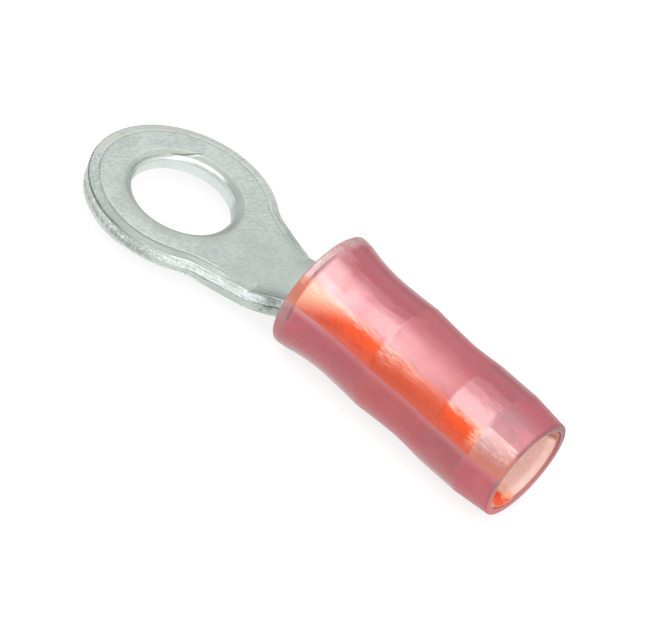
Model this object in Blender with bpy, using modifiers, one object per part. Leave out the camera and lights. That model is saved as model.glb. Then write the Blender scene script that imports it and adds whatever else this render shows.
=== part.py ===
"""A nylon-insulated ring terminal for a thin wire and a small stud.

One sheet of tinned copper is stamped into a ring, a neck and a strip, and the strip is rolled into a wire
barrel with a butted seam. A thin copper grip sleeve is pushed over the barrel, and a moulded nylon sleeve with
a beaded front rim and two waists covers both. Metres, +Z up, the ring flat and the barrel along X.
"""

import math

import bmesh
import bpy
from mathutils import Vector

# The sheet that the ring, the neck and the barrel are made from
STOCK_THICKNESS = 0.00079
STUD_HOLE_RADIUS = 0.00213
RING_RADIUS = 0.003935
COIN_WIDTH = 0.00042
COIN_DROP = 0.00006
COIN_FADE_LENGTH = 0.0012
EDGE_ROUNDING = 0.00007
HOLE_DISH_WIDTH = 0.00038
HOLE_DISH_DEPTH = 0.00027
HOLE_DISH_POWER = 1.4

# The neck: its length is past the ring, and its sides would pass this far inside the ring's circle
NECK_LENGTH = 0.001265
NECK_HALF_WIDTH = 0.00193
NECK_INSET = 0.0004
NECK_FILLET_RADIUS = 0.002

# The wire barrel: the sheet curls from the neck's end to a full round, and its shoulders widen to the barrel
BARREL_BORE_RADIUS = 0.00083
CURL_LENGTH = 0.003
SHOULDER_SETBACK = 0.002
SHOULDER_ANGLE = math.radians(50.0)
SHOULDER_RADIUS = 0.0005
BARREL_LENGTH = 0.0054
SEAM_GAP = 0.00006
SERRATIONS = 4
SERRATION_SETBACK = 0.0015
SERRATION_PITCH = 0.0009
SERRATION_WIDTH = 0.0004
SERRATION_DEPTH = 0.00008

# The copper grip sleeve over the barrel
FIT_CLEARANCE = 0.00002
GRIP_WALL = 0.00025
GRIP_FRONT_GAP = 0.0001
GRIP_SETBACK = 0.00006
GRIP_FUNNEL_LENGTH = 0.00035
GRIP_FUNNEL_FLARE = 0.00009
GRIP_EDGE_CHAMFER = 0.00005

# The nylon sleeve: its walls are measured from its bore, its lengths along the barrel from the curl's start
SLEEVE_SETBACK = 0.00182
RIM_LENGTH = 0.00037
RIM_WALL = 0.00068
RIM_ROUNDING = 0.00014
RIM_BACK_DROP = 0.000035
GROOVE_WIDTH = 0.0001
GROOVE_DEPTH = 0.00004
FLARE_WALL = 0.00065
FLARE_LENGTH = 0.00192
FRONT_WAIST_WALL = 0.000416
FRONT_WAIST_RISE = 0.00177
MIDDLE_RIDGE_WALL = 0.000484
REAR_WAIST_FALL = 0.00203
REAR_WAIST_WALL = 0.000366
REAR_WAIST_RISE = 0.00137
REAR_RIDGE_WALL = 0.000455
BAND_LENGTH = 0.0017
TAPER_LENGTH = 0.00164
WIRE_END_WALL = 0.000285
WIRE_END_ROUNDING = 0.00005
MOUTH_FLARE = 0.00028
MOUTH_LENGTH = 0.00122
FLARE_POWER = 2.0
WAIST_POWER = 1.5

# Facets
ROUND_STEPS = 56
ARC_STEP = math.radians(4.5)
STRIP_WIDTH = 0.00034
BEND_LENGTH = 0.0002
TAPER_STEPS = 6
WAIST_STEPS = 5
CORNER_STEPS = 3
DISH_STEPS = 4
SHARP_ANGLE = math.radians(30.0)
FLAT_COSINE = 0.9999
WELD = 1e-7

# Sizes that follow
barrel_radius = BARREL_BORE_RADIUS + STOCK_THICKNESS
neutral_radius = BARREL_BORE_RADIUS + STOCK_THICKNESS / 2
barrel_half_width = math.pi * neutral_radius - SEAM_GAP / 2
curl_start = RING_RADIUS + NECK_LENGTH
curl_end = curl_start + CURL_LENGTH
barrel_end = curl_end + BARREL_LENGTH
shoulder_start = curl_start + SHOULDER_SETBACK
shoulder_length = (barrel_half_width - NECK_HALF_WIDTH) / math.tan(SHOULDER_ANGLE)
grip_bore_radius = barrel_radius + FIT_CLEARANCE
grip_radius = grip_bore_radius + GRIP_WALL
sleeve_bore_radius = grip_radius + FIT_CLEARANCE
sleeve_start = curl_start + SLEEVE_SETBACK
rim_end = sleeve_start + RIM_LENGTH
flare_start = rim_end + GROOVE_WIDTH
front_waist = flare_start + FLARE_LENGTH
middle_ridge = front_waist + FRONT_WAIST_RISE
rear_waist = middle_ridge + REAR_WAIST_FALL
rear_ridge = rear_waist + REAR_WAIST_RISE
band_end = rear_ridge + BAND_LENGTH
sleeve_end = band_end + TAPER_LENGTH
overall_length = RING_RADIUS + sleeve_end
axis_height = sleeve_bore_radius + RIM_WALL


def clear_scene():
    for old in list(bpy.data.objects):
        bpy.data.objects.remove(old, do_unlink=True)


def make_material(name, color, roughness, metallic, transmission=0.0):
    material = bpy.data.materials.new(name)
    material.use_nodes = True
    shader = material.node_tree.nodes["Principled BSDF"]
    shader.inputs["Base Color"].default_value = (*color, 1.0)
    shader.inputs["Roughness"].default_value = roughness
    shader.inputs["Metallic"].default_value = metallic
    shader.inputs["Transmission Weight"].default_value = transmission
    material.diffuse_color = (*color, 1.0)
    return material


def arc(center, radius, start, end, outward=1):
    """Points on an arc about center, each with the normal that leads out of the sheet."""
    steps = max(2, math.ceil(abs(end - start) / ARC_STEP))
    points = []
    for k in range(steps + 1):
        turn = start + (end - start) * k / steps
        ray = Vector((math.cos(turn), math.sin(turn)))
        points.append((center + radius * ray, outward * ray))
    return points


def ring_and_neck_side():
    """The blank's edge on its +Y side, from the ring's far end to the neck: ring, fillet and tapered side."""
    taper_end = Vector((curl_start, NECK_HALF_WIDTH))
    taper_distance = RING_RADIUS - NECK_INSET
    normal_angle = math.atan2(taper_end.y, taper_end.x) + math.acos(taper_distance / taper_end.length)
    taper_normal = Vector((math.cos(normal_angle), math.sin(normal_angle)))
    reach = RING_RADIUS + NECK_FILLET_RADIUS
    fillet_angle = normal_angle - math.acos((taper_distance + NECK_FILLET_RADIUS) / reach)
    fillet_center = reach * Vector((math.cos(fillet_angle), math.sin(fillet_angle)))
    edge = arc(Vector((0.0, 0.0)), RING_RADIUS, math.pi, fillet_angle)
    edge += arc(fillet_center, NECK_FILLET_RADIUS, fillet_angle + math.pi, normal_angle + math.pi, -1)[1:]
    taper_start = edge[-1][0]
    for k in range(1, TAPER_STEPS + 1):
        edge.append((taper_start.lerp(taper_end, k / TAPER_STEPS), taper_normal))
    return edge


def shoulder_side():
    """The blank's edge on its +Y side, from the neck out to the strip that is rolled into the barrel."""
    tangent_length = SHOULDER_RADIUS * math.tan(SHOULDER_ANGLE / 2)
    inner_center = Vector((shoulder_start - tangent_length, NECK_HALF_WIDTH + SHOULDER_RADIUS))
    outer_x = shoulder_start + shoulder_length + tangent_length
    outer_center = Vector((outer_x, barrel_half_width - SHOULDER_RADIUS))
    down = -math.pi / 2
    edge = arc(inner_center, SHOULDER_RADIUS, down, down + SHOULDER_ANGLE, -1)
    edge += arc(outer_center, SHOULDER_RADIUS, math.pi / 2 + SHOULDER_ANGLE, math.pi / 2)
    edge.append((Vector((barrel_end, barrel_half_width)), Vector((0.0, 1.0))))
    return edge


def loft_edge(blank, edge, levels):
    """Walls through a closed edge at several heights. A level is a function of x: (height, inset)."""
    loops = []
    for level in levels:
        loop = []
        for point, normal in edge:
            height, inset = level(point.x)
            place = point - inset * normal
            loop.append(blank.verts.new((place.x, place.y, height)))
        loops.append(loop)
    for low, high in zip(loops, loops[1:]):
        for k in range(len(edge)):
            after = (k + 1) % len(edge)
            blank.faces.new((low[k], low[after], high[after], high[k]))
    return loops[0], loops[-1]


def loop_edges(blank, loop):
    return [blank.edges.get((loop[k - 1], loop[k])) for k in range(len(loop))]


def coining(x):
    """How far the ring's top margin is pressed at x: in full on the ring, fading out before the curl."""
    return min(1.0, max(0.0, (curl_start - x) / COIN_FADE_LENGTH))


def dish_levels():
    """The hole's top rim: the face is drawn down toward the hole by the punch, as a shallow cone."""
    levels = []
    for k in range(DISH_STEPS + 1):
        share = k / DISH_STEPS
        height = STOCK_THICKNESS - HOLE_DISH_DEPTH * (1 - share) ** HOLE_DISH_POWER
        levels.append(lambda x, height=height, inset=HOLE_DISH_WIDTH * share: (height, inset))
    return levels


def make_blank():
    """The flat stamping: its sheared underside edge, its wall, its coined top margin and its stud hole."""
    upper = ring_and_neck_side() + shoulder_side()
    lower = [(Vector((p.x, -p.y)), Vector((n.x, -n.y))) for p, n in reversed(upper[1:])]
    hole = arc(Vector((0.0, 0.0)), STUD_HOLE_RADIUS, 0.0, 2 * math.pi, -1)[:-1]
    blank = bmesh.new()
    outline_levels = [
        lambda x: (0.0, EDGE_ROUNDING),
        lambda x: (EDGE_ROUNDING, 0.0),
        lambda x: (STOCK_THICKNESS - COIN_DROP * coining(x), 0.0),
        lambda x: (STOCK_THICKNESS, COIN_WIDTH * coining(x)),
    ]
    hole_levels = [
        lambda x: (0.0, EDGE_ROUNDING),
        lambda x: (EDGE_ROUNDING, 0.0),
    ] + dish_levels()
    outline_bottom, outline_top = loft_edge(blank, upper + lower, outline_levels)
    hole_bottom, hole_top = loft_edge(blank, hole, hole_levels)
    for outline, opening in ((outline_bottom, hole_bottom), (outline_top, hole_top)):
        borders = loop_edges(blank, outline) + loop_edges(blank, opening)
        bmesh.ops.triangle_fill(blank, edges=borders, use_beauty=True)
    bmesh.ops.remove_doubles(blank, verts=blank.verts, dist=WELD)
    bmesh.ops.recalc_face_normals(blank, faces=blank.faces)
    return blank


def clear_strip(blank):
    """Parts the sheet where the curl starts, and merges the flat triangles past it into plain faces."""
    bmesh.ops.bisect_plane(blank, geom=blank.verts[:] + blank.edges[:] + blank.faces[:], dist=WELD,
                           plane_co=(curl_start, 0, 0), plane_no=(1, 0, 0))
    inner = [edge for edge in blank.edges
             if all(face.calc_center_median().x > curl_start for face in edge.link_faces)
             and edge.link_faces[0].normal.dot(edge.link_faces[1].normal) > FLAT_COSINE]
    bmesh.ops.dissolve_edges(blank, edges=inner, use_verts=False)


def cut_across(blank, plane_point, plane_normal, low_x):
    """Adds edges where a plane crosses the blank past low_x, so that it can be bent there."""
    faces = [face for face in blank.faces if face.calc_center_median().x > low_x]
    edges = list({edge for face in faces for edge in face.edges})
    verts = list({vert for face in faces for vert in face.verts})
    bmesh.ops.bisect_plane(blank, geom=verts + edges + faces, dist=WELD, plane_co=plane_point,
                           plane_no=plane_normal)


def cut_for_rolling(blank):
    """Splits the neck and the strip lengthwise and crosswise, and cuts the serrations' ridges and valleys."""
    strips = 2 * math.ceil(barrel_half_width / STRIP_WIDTH)
    for k in range(1, strips):
        y = barrel_half_width * (2 * k / strips - 1)
        cut_across(blank, (0, y, 0), (0, 1, 0), curl_start)
    bends = math.ceil(CURL_LENGTH / BEND_LENGTH)
    crossings = [curl_start + CURL_LENGTH * k / bends for k in range(1, bends + 1)]
    crossings += [middle + side * SERRATION_WIDTH / 2 for middle in serration_places() for side in (-1, 0, 1)]
    for x in crossings:
        cut_across(blank, (x, 0, 0), (1, 0, 0), curl_start)


def serration_places():
    return [curl_end + SERRATION_SETBACK + SERRATION_PITCH * k for k in range(SERRATIONS)]


def press_serrations(blank):
    """Presses the V-shaped serrations that bite the wire into what will be the barrel's inside."""
    for vert in blank.verts:
        for middle in serration_places():
            if abs(vert.co.x - middle) < WELD and abs(vert.co.z - STOCK_THICKNESS) < WELD:
                vert.co.z -= SERRATION_DEPTH


def curl_at(x):
    """The sheet's curvature at x: none on the flat tongue, growing evenly to the full round of the barrel."""
    return min(1.0, (x - curl_start) / CURL_LENGTH) / neutral_radius


def roll_strip(blank):
    """Bends each crosswise line of the sheet round an arc that stays level with the tongue's underside."""
    for vert in blank.verts:
        if vert.co.x < curl_start + WELD:
            continue
        curl = curl_at(vert.co.x)
        outer = 1 / curl + STOCK_THICKNESS / 2
        radius = outer - vert.co.z
        angle = vert.co.y * curl
        vert.co.y = radius * math.sin(angle)
        vert.co.z = outer - radius * math.cos(angle)


def make_ring_tongue():
    """The whole stamping: cut flat, then rolled, its barrel's axis on the object's own X axis."""
    blank = make_blank()
    clear_strip(blank)
    cut_for_rolling(blank)
    press_serrations(blank)
    bmesh.ops.triangulate(blank, faces=blank.faces)
    roll_strip(blank)
    bmesh.ops.translate(blank, verts=blank.verts, vec=(0, 0, -barrel_radius))
    mesh = bpy.data.meshes.new("ring_tongue")
    blank.to_mesh(mesh)
    blank.free()
    mesh.shade_smooth()
    mesh.set_sharp_from_angle(angle=SHARP_ANGLE)
    return bpy.data.objects.new("ring_tongue", mesh)


def turned(name, profile):
    """A ring turned about the barrel's axis from a closed profile of (place along the barrel, radius)."""
    mesh = bpy.data.meshes.new(name)
    count = len(profile)
    edges = [(k, (k + 1) % count) for k in range(count)]
    mesh.from_pydata([(radius, 0.0, place) for place, radius in profile], edges, [])
    item = bpy.data.objects.new(name, mesh)
    item.rotation_euler = (0.0, math.pi / 2, 0.0)
    screw = item.modifiers.new("turn", "SCREW")
    screw.axis = "Z"
    screw.angle = 2 * math.pi
    screw.steps = ROUND_STEPS
    screw.render_steps = ROUND_STEPS
    screw.use_merge_vertices = True
    screw.merge_threshold = WELD
    screw.use_smooth_shade = True
    return item


def make_grip_sleeve():
    """The copper sleeve: chamfered at the ring end, slightly funnelled where the wire goes in."""
    front = curl_end + GRIP_FRONT_GAP
    back = sleeve_end - GRIP_SETBACK
    profile = [
        (back, grip_bore_radius + GRIP_FUNNEL_FLARE),
        (back, grip_radius),
        (front + GRIP_EDGE_CHAMFER, grip_radius),
        (front, grip_radius - GRIP_EDGE_CHAMFER),
        (front, grip_bore_radius),
        (back - GRIP_FUNNEL_LENGTH, grip_bore_radius),
    ]
    return turned("grip_sleeve", profile)


def half_waist(low, low_radius, high, high_radius, power):
    """Points from the high end of a waist down to just before its lowest place."""
    points = []
    for k in range(WAIST_STEPS):
        share = 1 - k / WAIST_STEPS
        points.append((low + (high - low) * share, low_radius + (high_radius - low_radius) * share ** power))
    return points


def quarter(center_place, center_radius, size, start, end):
    """A quarter round in the turned profile, about (center_place, center_radius)."""
    points = []
    for k in range(CORNER_STEPS + 1):
        turn = start + (end - start) * k / CORNER_STEPS
        points.append((center_place + size * math.cos(turn), center_radius + size * math.sin(turn)))
    return points


def make_insulation_sleeve():
    """The nylon sleeve, from the wire end along its outside to the beaded front rim and back along its bore."""
    rim_radius = sleeve_bore_radius + RIM_WALL
    flare_radius = sleeve_bore_radius + FLARE_WALL
    front_waist_radius = sleeve_bore_radius + FRONT_WAIST_WALL
    middle_radius = sleeve_bore_radius + MIDDLE_RIDGE_WALL
    rear_waist_radius = sleeve_bore_radius + REAR_WAIST_WALL
    band_radius = sleeve_bore_radius + REAR_RIDGE_WALL
    wire_end_radius = sleeve_bore_radius + WIRE_END_WALL
    outside = quarter(sleeve_end - WIRE_END_ROUNDING, wire_end_radius - WIRE_END_ROUNDING,
                      WIRE_END_ROUNDING, 0.0, math.pi / 2)
    outside.append((band_end, band_radius))
    outside += half_waist(rear_waist, rear_waist_radius, rear_ridge, band_radius, WAIST_POWER)
    rear_fall = half_waist(rear_waist, rear_waist_radius, middle_ridge, middle_radius, WAIST_POWER)
    outside.append((rear_waist, rear_waist_radius))
    outside += reversed(rear_fall)
    front_rise = half_waist(front_waist, front_waist_radius, middle_ridge, middle_radius, WAIST_POWER)
    outside += front_rise[1:]
    outside.append((front_waist, front_waist_radius))
    outside += reversed(half_waist(front_waist, front_waist_radius, flare_start, flare_radius, FLARE_POWER))
    outside.append(((rim_end + flare_start) / 2, flare_radius - GROOVE_DEPTH))
    outside.append((rim_end, rim_radius - RIM_BACK_DROP))
    outside += quarter(sleeve_start + RIM_ROUNDING, rim_radius - RIM_ROUNDING, RIM_ROUNDING,
                       math.pi / 2, math.pi)
    inside = [
        (sleeve_start, sleeve_bore_radius + MOUTH_FLARE),
        (sleeve_start + MOUTH_LENGTH, sleeve_bore_radius),
        (sleeve_end, sleeve_bore_radius),
    ]
    return turned("insulation_sleeve", outside + inside)


def finish_part(item, parent, collection, material):
    item.data.materials.append(material)
    item.parent = parent
    collection.objects.link(item)


clear_scene()
terminal_collection = bpy.data.collections.new("ring_terminal")
bpy.context.scene.collection.children.link(terminal_collection)
terminal = bpy.data.objects.new("ring_terminal", None)
terminal.location = (RING_RADIUS - overall_length / 2, 0.0, axis_height)
terminal_collection.objects.link(terminal)

tinned_copper = make_material("tinned_copper", (0.62, 0.65, 0.63), 0.42, 1.0)
bare_copper = make_material("bare_copper", (0.95, 0.60, 0.46), 0.35, 1.0)
pink_nylon = make_material("pink_nylon", (0.60, 0.20, 0.25), 0.28, 0.0, 0.35)

finish_part(make_ring_tongue(), terminal, terminal_collection, tinned_copper)
finish_part(make_grip_sleeve(), terminal, terminal_collection, bare_copper)
finish_part(make_insulation_sleeve(), terminal, terminal_collection, pink_nylon)
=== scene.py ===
import math

import bmesh
import bpy
from mathutils import Matrix, Vector, noise


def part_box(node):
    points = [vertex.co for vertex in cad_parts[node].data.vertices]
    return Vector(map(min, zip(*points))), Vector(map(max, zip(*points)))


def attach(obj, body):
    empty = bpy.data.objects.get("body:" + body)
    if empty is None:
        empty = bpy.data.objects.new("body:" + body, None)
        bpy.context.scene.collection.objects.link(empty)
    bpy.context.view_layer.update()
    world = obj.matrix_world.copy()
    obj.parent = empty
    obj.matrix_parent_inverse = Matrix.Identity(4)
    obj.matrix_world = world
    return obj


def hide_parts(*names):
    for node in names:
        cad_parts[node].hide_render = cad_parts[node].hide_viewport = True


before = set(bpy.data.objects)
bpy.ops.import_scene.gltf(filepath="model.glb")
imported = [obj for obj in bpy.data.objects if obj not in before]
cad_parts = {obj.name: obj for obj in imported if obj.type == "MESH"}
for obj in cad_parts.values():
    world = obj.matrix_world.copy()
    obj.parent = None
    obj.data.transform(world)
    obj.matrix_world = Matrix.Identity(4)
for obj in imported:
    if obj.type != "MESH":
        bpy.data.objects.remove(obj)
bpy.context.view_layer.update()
tongueLow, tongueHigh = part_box("ring_tongue")
sleeveLow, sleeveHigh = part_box("insulation_sleeve")
gripLow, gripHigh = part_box("grip_sleeve")
ringRadius = tongueHigh.y
holeX = tongueLow.x + ringRadius  # the stud hole's centre
axisZ = (sleeveLow.z + sleeveHigh.z) / 2  # the barrel's centre line, along X
sleeveFront, sleeveBack = sleeveLow.x, sleeveHigh.x
print("frame loaded")


def finishMesh(shape, name, material, smoothAngle=None):
    bmesh.ops.remove_doubles(shape, verts=shape.verts, dist=1e-7)
    bmesh.ops.recalc_face_normals(shape, faces=shape.faces)
    mesh = bpy.data.meshes.new(name)
    shape.to_mesh(mesh)
    shape.free()
    mesh.shade_smooth()
    if smoothAngle:
        mesh.set_sharp_from_angle(angle=smoothAngle)
    mesh.materials.append(material)
    piece = bpy.data.objects.new(name, mesh)
    bpy.context.scene.collection.objects.link(piece)
    return piece


def addLoop(shape, points):
    # a closed row of vertices joined by edges, for spin
    verts = [shape.verts.new(point) for point in points]
    return [shape.edges.new((verts[k - 1], verts[k])) for k in range(len(verts))]


def wrapped(rows, alongs, acrosses):
    # a grid carried onto closed rows of points, its last row joined to the first: a ring-shaped skin.
    # each vertex keeps how far along its row and across the rows it lies, in millimetres, as "edge"
    across, along = len(rows[0]), len(rows)
    shape = bmesh.new()
    edge = shape.verts.layers.float_vector.new("edge")
    bmesh.ops.create_grid(shape, x_segments=across, y_segments=along, size=0.5)
    for vert in shape.verts:
        column = round((vert.co.x + 0.5) * across) % across
        row = round((vert.co.y + 0.5) * along) % along
        vert.co = rows[row][column]
        vert[edge] = (alongs[column], acrosses[row], 0)
    return shape


def ease(share):
    share = min(1.0, max(0.0, share))
    return share * share * (3 - 2 * share)


# Node helpers

def newMaterial(name):
    material = bpy.data.materials.new(name)
    material.use_nodes = True
    return material, material.node_tree


def plug(tree, value, socket):
    # a socket is linked, anything else is set
    if isinstance(value, bpy.types.NodeSocket):
        tree.links.new(value, socket)
    else:
        socket.default_value = value


def maths(tree, operation, *values):
    node = tree.nodes.new("ShaderNodeMath")
    node.operation = operation
    for value, socket in zip(values, node.inputs):
        plug(tree, value, socket)
    return node.outputs[0]


def product(tree, first, *others):
    for value in others:
        first = maths(tree, "MULTIPLY", first, value)
    return first


def most(tree, first, *others):
    for value in others:
        first = maths(tree, "MAXIMUM", first, value)
    return first


def remaining(tree, share):
    return maths(tree, "SUBTRACT", 1.0, share)


def hypotenuse(tree, first, second):
    squares = maths(tree, "ADD", product(tree, first, first), product(tree, second, second))
    return maths(tree, "SQRT", squares)


def frayed(tree, value, pattern, amount):
    # the value moved up and down by a pattern that lies about 0.5
    return maths(tree, "ADD", value, product(tree, maths(tree, "SUBTRACT", pattern, 0.5), amount))


def ramped(tree, value, low, high):
    # 0 below low, 1 above high, smooth between; low may be above high
    node = tree.nodes.new("ShaderNodeMapRange")
    node.interpolation_type = "SMOOTHSTEP"
    plug(tree, value, node.inputs["Value"])
    node.inputs["From Min"].default_value = low
    node.inputs["From Max"].default_value = high
    return node.outputs["Result"]


def band(tree, value, low, lowSoft, high, highSoft):
    # 1 between low and high, with a soft edge of its own width at each end
    rise = ramped(tree, value, low - lowSoft / 2, low + lowSoft / 2)
    fall = ramped(tree, value, high + highSoft / 2, high - highSoft / 2)
    return product(tree, rise, fall)


def tinted(tree, share, first, second):
    node = tree.nodes.new("ShaderNodeMix")
    node.data_type = "RGBA"
    plug(tree, share, node.inputs[0])
    plug(tree, first, node.inputs[6])
    plug(tree, second, node.inputs[7])
    return node.outputs[2]


def painted(tree, color, paint, *shares):
    # paint laid over a colour, as thick as all the shares multiplied together
    return tinted(tree, product(tree, *shares), color, paint)


def grain(tree, place, scale, detail, roughness=0.5):
    node = tree.nodes.new("ShaderNodeTexNoise")
    plug(tree, place, node.inputs["Vector"])
    node.inputs["Scale"].default_value = scale
    node.inputs["Detail"].default_value = detail
    node.inputs["Roughness"].default_value = roughness
    return node.outputs[0]


def millimetres(tree):
    # Object coordinates in millimetres, and each of them alone
    place = tree.nodes.new("ShaderNodeTexCoord").outputs["Object"]
    scaled = tree.nodes.new("ShaderNodeVectorMath")
    scaled.operation = "SCALE"
    plug(tree, place, scaled.inputs[0])
    scaled.inputs["Scale"].default_value = 1000.0
    split = tree.nodes.new("ShaderNodeSeparateXYZ")
    plug(tree, scaled.outputs[0], split.inputs[0])
    return scaled.outputs[0], split.outputs[0], split.outputs[1], split.outputs[2]


def turned(tree, place, degrees):
    node = tree.nodes.new("ShaderNodeVectorRotate")
    node.rotation_type = "Z_AXIS"
    plug(tree, place, node.inputs["Vector"])
    node.inputs["Angle"].default_value = math.radians(degrees)
    return node.outputs[0]


def stretched(tree, place, scale):
    node = tree.nodes.new("ShaderNodeVectorMath")
    node.operation = "MULTIPLY"
    plug(tree, place, node.inputs[0])
    node.inputs[1].default_value = scale
    return node.outputs[0]


def bumped(tree, height, distance, strength):
    node = tree.nodes.new("ShaderNodeBump")
    plug(tree, height, node.inputs["Height"])
    node.inputs["Distance"].default_value = distance
    node.inputs["Strength"].default_value = strength
    return node.outputs["Normal"]


# The stamped tongue: the flat ring, the neck, and the start of the curl as far as inside the sleeve's mouth

tongueLook = {
    "thickness": 0.00079, "holeRadius": 0.00213,
    "neckLength": 0.001265, "neckHalfWidth": 0.00193, "neckInset": 0.0004, "filletRadius": 0.002,
    "curlLength": 0.003, "neutralRadius": 0.001225, "insideSleeve": 0.0009, "endCorner": 0.0007,
    "marginWidth": 0.00042, "marginDrop": 0.00006, "marginFade": 0.0012,
    "marginLineWidth": 0.00007, "marginLineDepth": 0.000022, "marginLineAtNeck": 0.15,
    "edgeRound": 0.00003, "holeRound": 0.00006, "undersideRim": 0.0006,
    "dishWidth": 0.00038, "dishDepth": 0.00027, "dishPower": 1.4,
    "burrHeight": 0.00004, "burrWidth": 0.00022, "burrFrom": math.radians(70), "burrTo": math.radians(150),
    "tornBelow": 0.38, "tornDepth": 0.000012, "tornRelief": 0.000022, "burnishedRelief": 0.000008,
    "wallWaves": 0.000006, "faceWaves": 0.000003, "holeRelief": 0.000008,
    "ringSteps": 300, "filletSteps": 14, "sideSteps": 70, "cornerSteps": 8, "endSteps": 20,
    "undersideRows": 6, "wallRows": 12, "faceRows": 26, "dishRows": 10, "holeRows": 8,
}


def tongueOutline(look):
    # (point, outward normal) once round the blank, from the end's middle over the +Y side
    curlStart = ringRadius + look["neckLength"]
    taperEnd = Vector((curlStart, look["neckHalfWidth"]))
    taperDistance = ringRadius - look["neckInset"]
    normalAngle = math.atan2(taperEnd.y, taperEnd.x) + math.acos(taperDistance / taperEnd.length)
    taperNormal = Vector((math.cos(normalAngle), math.sin(normalAngle)))
    reach = ringRadius + look["filletRadius"]
    filletAngle = normalAngle - math.acos((taperDistance + look["filletRadius"]) / reach)
    filletCenter = reach * Vector((math.cos(filletAngle), math.sin(filletAngle)))
    endX = sleeveFront - holeX + look["insideSleeve"]
    corner = look["endCorner"]
    half = []
    for k in range(look["endSteps"]):
        across = (look["neckHalfWidth"] - corner) * k / look["endSteps"]
        half.append((Vector((endX, across)), Vector((1, 0))))
    for k in range(look["cornerSteps"]):
        turn = math.pi / 2 * k / look["cornerSteps"]
        ray = Vector((math.cos(turn), math.sin(turn)))
        half.append((Vector((endX - corner, look["neckHalfWidth"] - corner)) + corner * ray, ray))
    sideStart = Vector((endX - corner, look["neckHalfWidth"]))
    taperStart = filletCenter - look["filletRadius"] * taperNormal
    straight = (sideStart - taperEnd).length
    taper = (taperEnd - taperStart).length
    for k in range(look["sideSteps"]):
        run = (straight + taper) * k / look["sideSteps"]
        if run < straight:
            half.append((sideStart.lerp(taperEnd, run / straight), Vector((0, 1))))
        else:
            half.append((taperEnd.lerp(taperStart, (run - straight) / taper), taperNormal))
    for k in range(look["filletSteps"]):
        turn = normalAngle + (filletAngle - normalAngle) * k / look["filletSteps"]
        ray = Vector((math.cos(turn), math.sin(turn)))
        half.append((filletCenter - look["filletRadius"] * ray, ray))
    neckCount = len(half)
    for k in range(look["ringSteps"] // 2 + 1):
        turn = filletAngle + (math.pi - filletAngle) * k / (look["ringSteps"] // 2)
        ray = Vector((math.cos(turn), math.sin(turn)))
        half.append((ringRadius * ray, ray))
    turns = [filletAngle * k / neckCount for k in range(neckCount)]
    turns += [math.atan2(point.y, point.x) for point, normal in half[neckCount:]]
    flip = Vector((1, -1))
    other = [(point * flip, normal * flip) for point, normal in half[-2:0:-1]]
    return half + other, turns + [-turn for turn in turns[-2:0:-1]]


def rolled(point, look):
    # carries a point of the flat blank to its place on the bent part
    x, y, z = point
    curlStart = ringRadius + look["neckLength"]
    if x > curlStart:
        curl = min(1.0, (x - curlStart) / look["curlLength"]) / look["neutralRadius"]
        outer = 1 / curl + look["thickness"] / 2
        angle = y * curl
        y, z = (outer - z) * math.sin(angle), outer - (outer - z) * math.cos(angle)
    return holeX + x, y, tongueLow.z + z


def marginDepth(inset, x, turn, look):
    # how far the coined margin lies under the flat face, this far in from the edge
    fade = 1 - ease((x - ringRadius) / look["marginFade"])
    drop = look["marginDrop"] * fade * (1 - ease(inset / look["marginWidth"]))
    line = max(0.0, 1 - abs(inset - look["marginWidth"]) / look["marginLineWidth"])
    wear = 0.6 + 0.5 * noise.noise(Vector((math.cos(turn) * 3, math.sin(turn) * 3, x * 900)))
    atNeck = look["marginLineAtNeck"]
    return drop + look["marginLineDepth"] * line * wear * (atNeck + (1 - atNeck) * fade)


def wallWear(point, height, look):
    # the sheared edge: burnished and nearly smooth above, torn and set back below
    spot = Vector((point.x * 7000, point.y * 7000, height * 1500))
    torn = 1 - ease((height / look["thickness"] - look["tornBelow"]) / 0.2)
    streaks = noise.noise(spot) + 0.5 * noise.noise(spot * 2.3)
    waves = noise.noise(Vector((point.x * 1400, point.y * 1400, 3.0)))
    setBack = look["tornRelief"] * streaks - look["tornDepth"]
    return look["wallWaves"] * waves + torn * setBack + (1 - torn) * look["burnishedRelief"] * streaks


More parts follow.
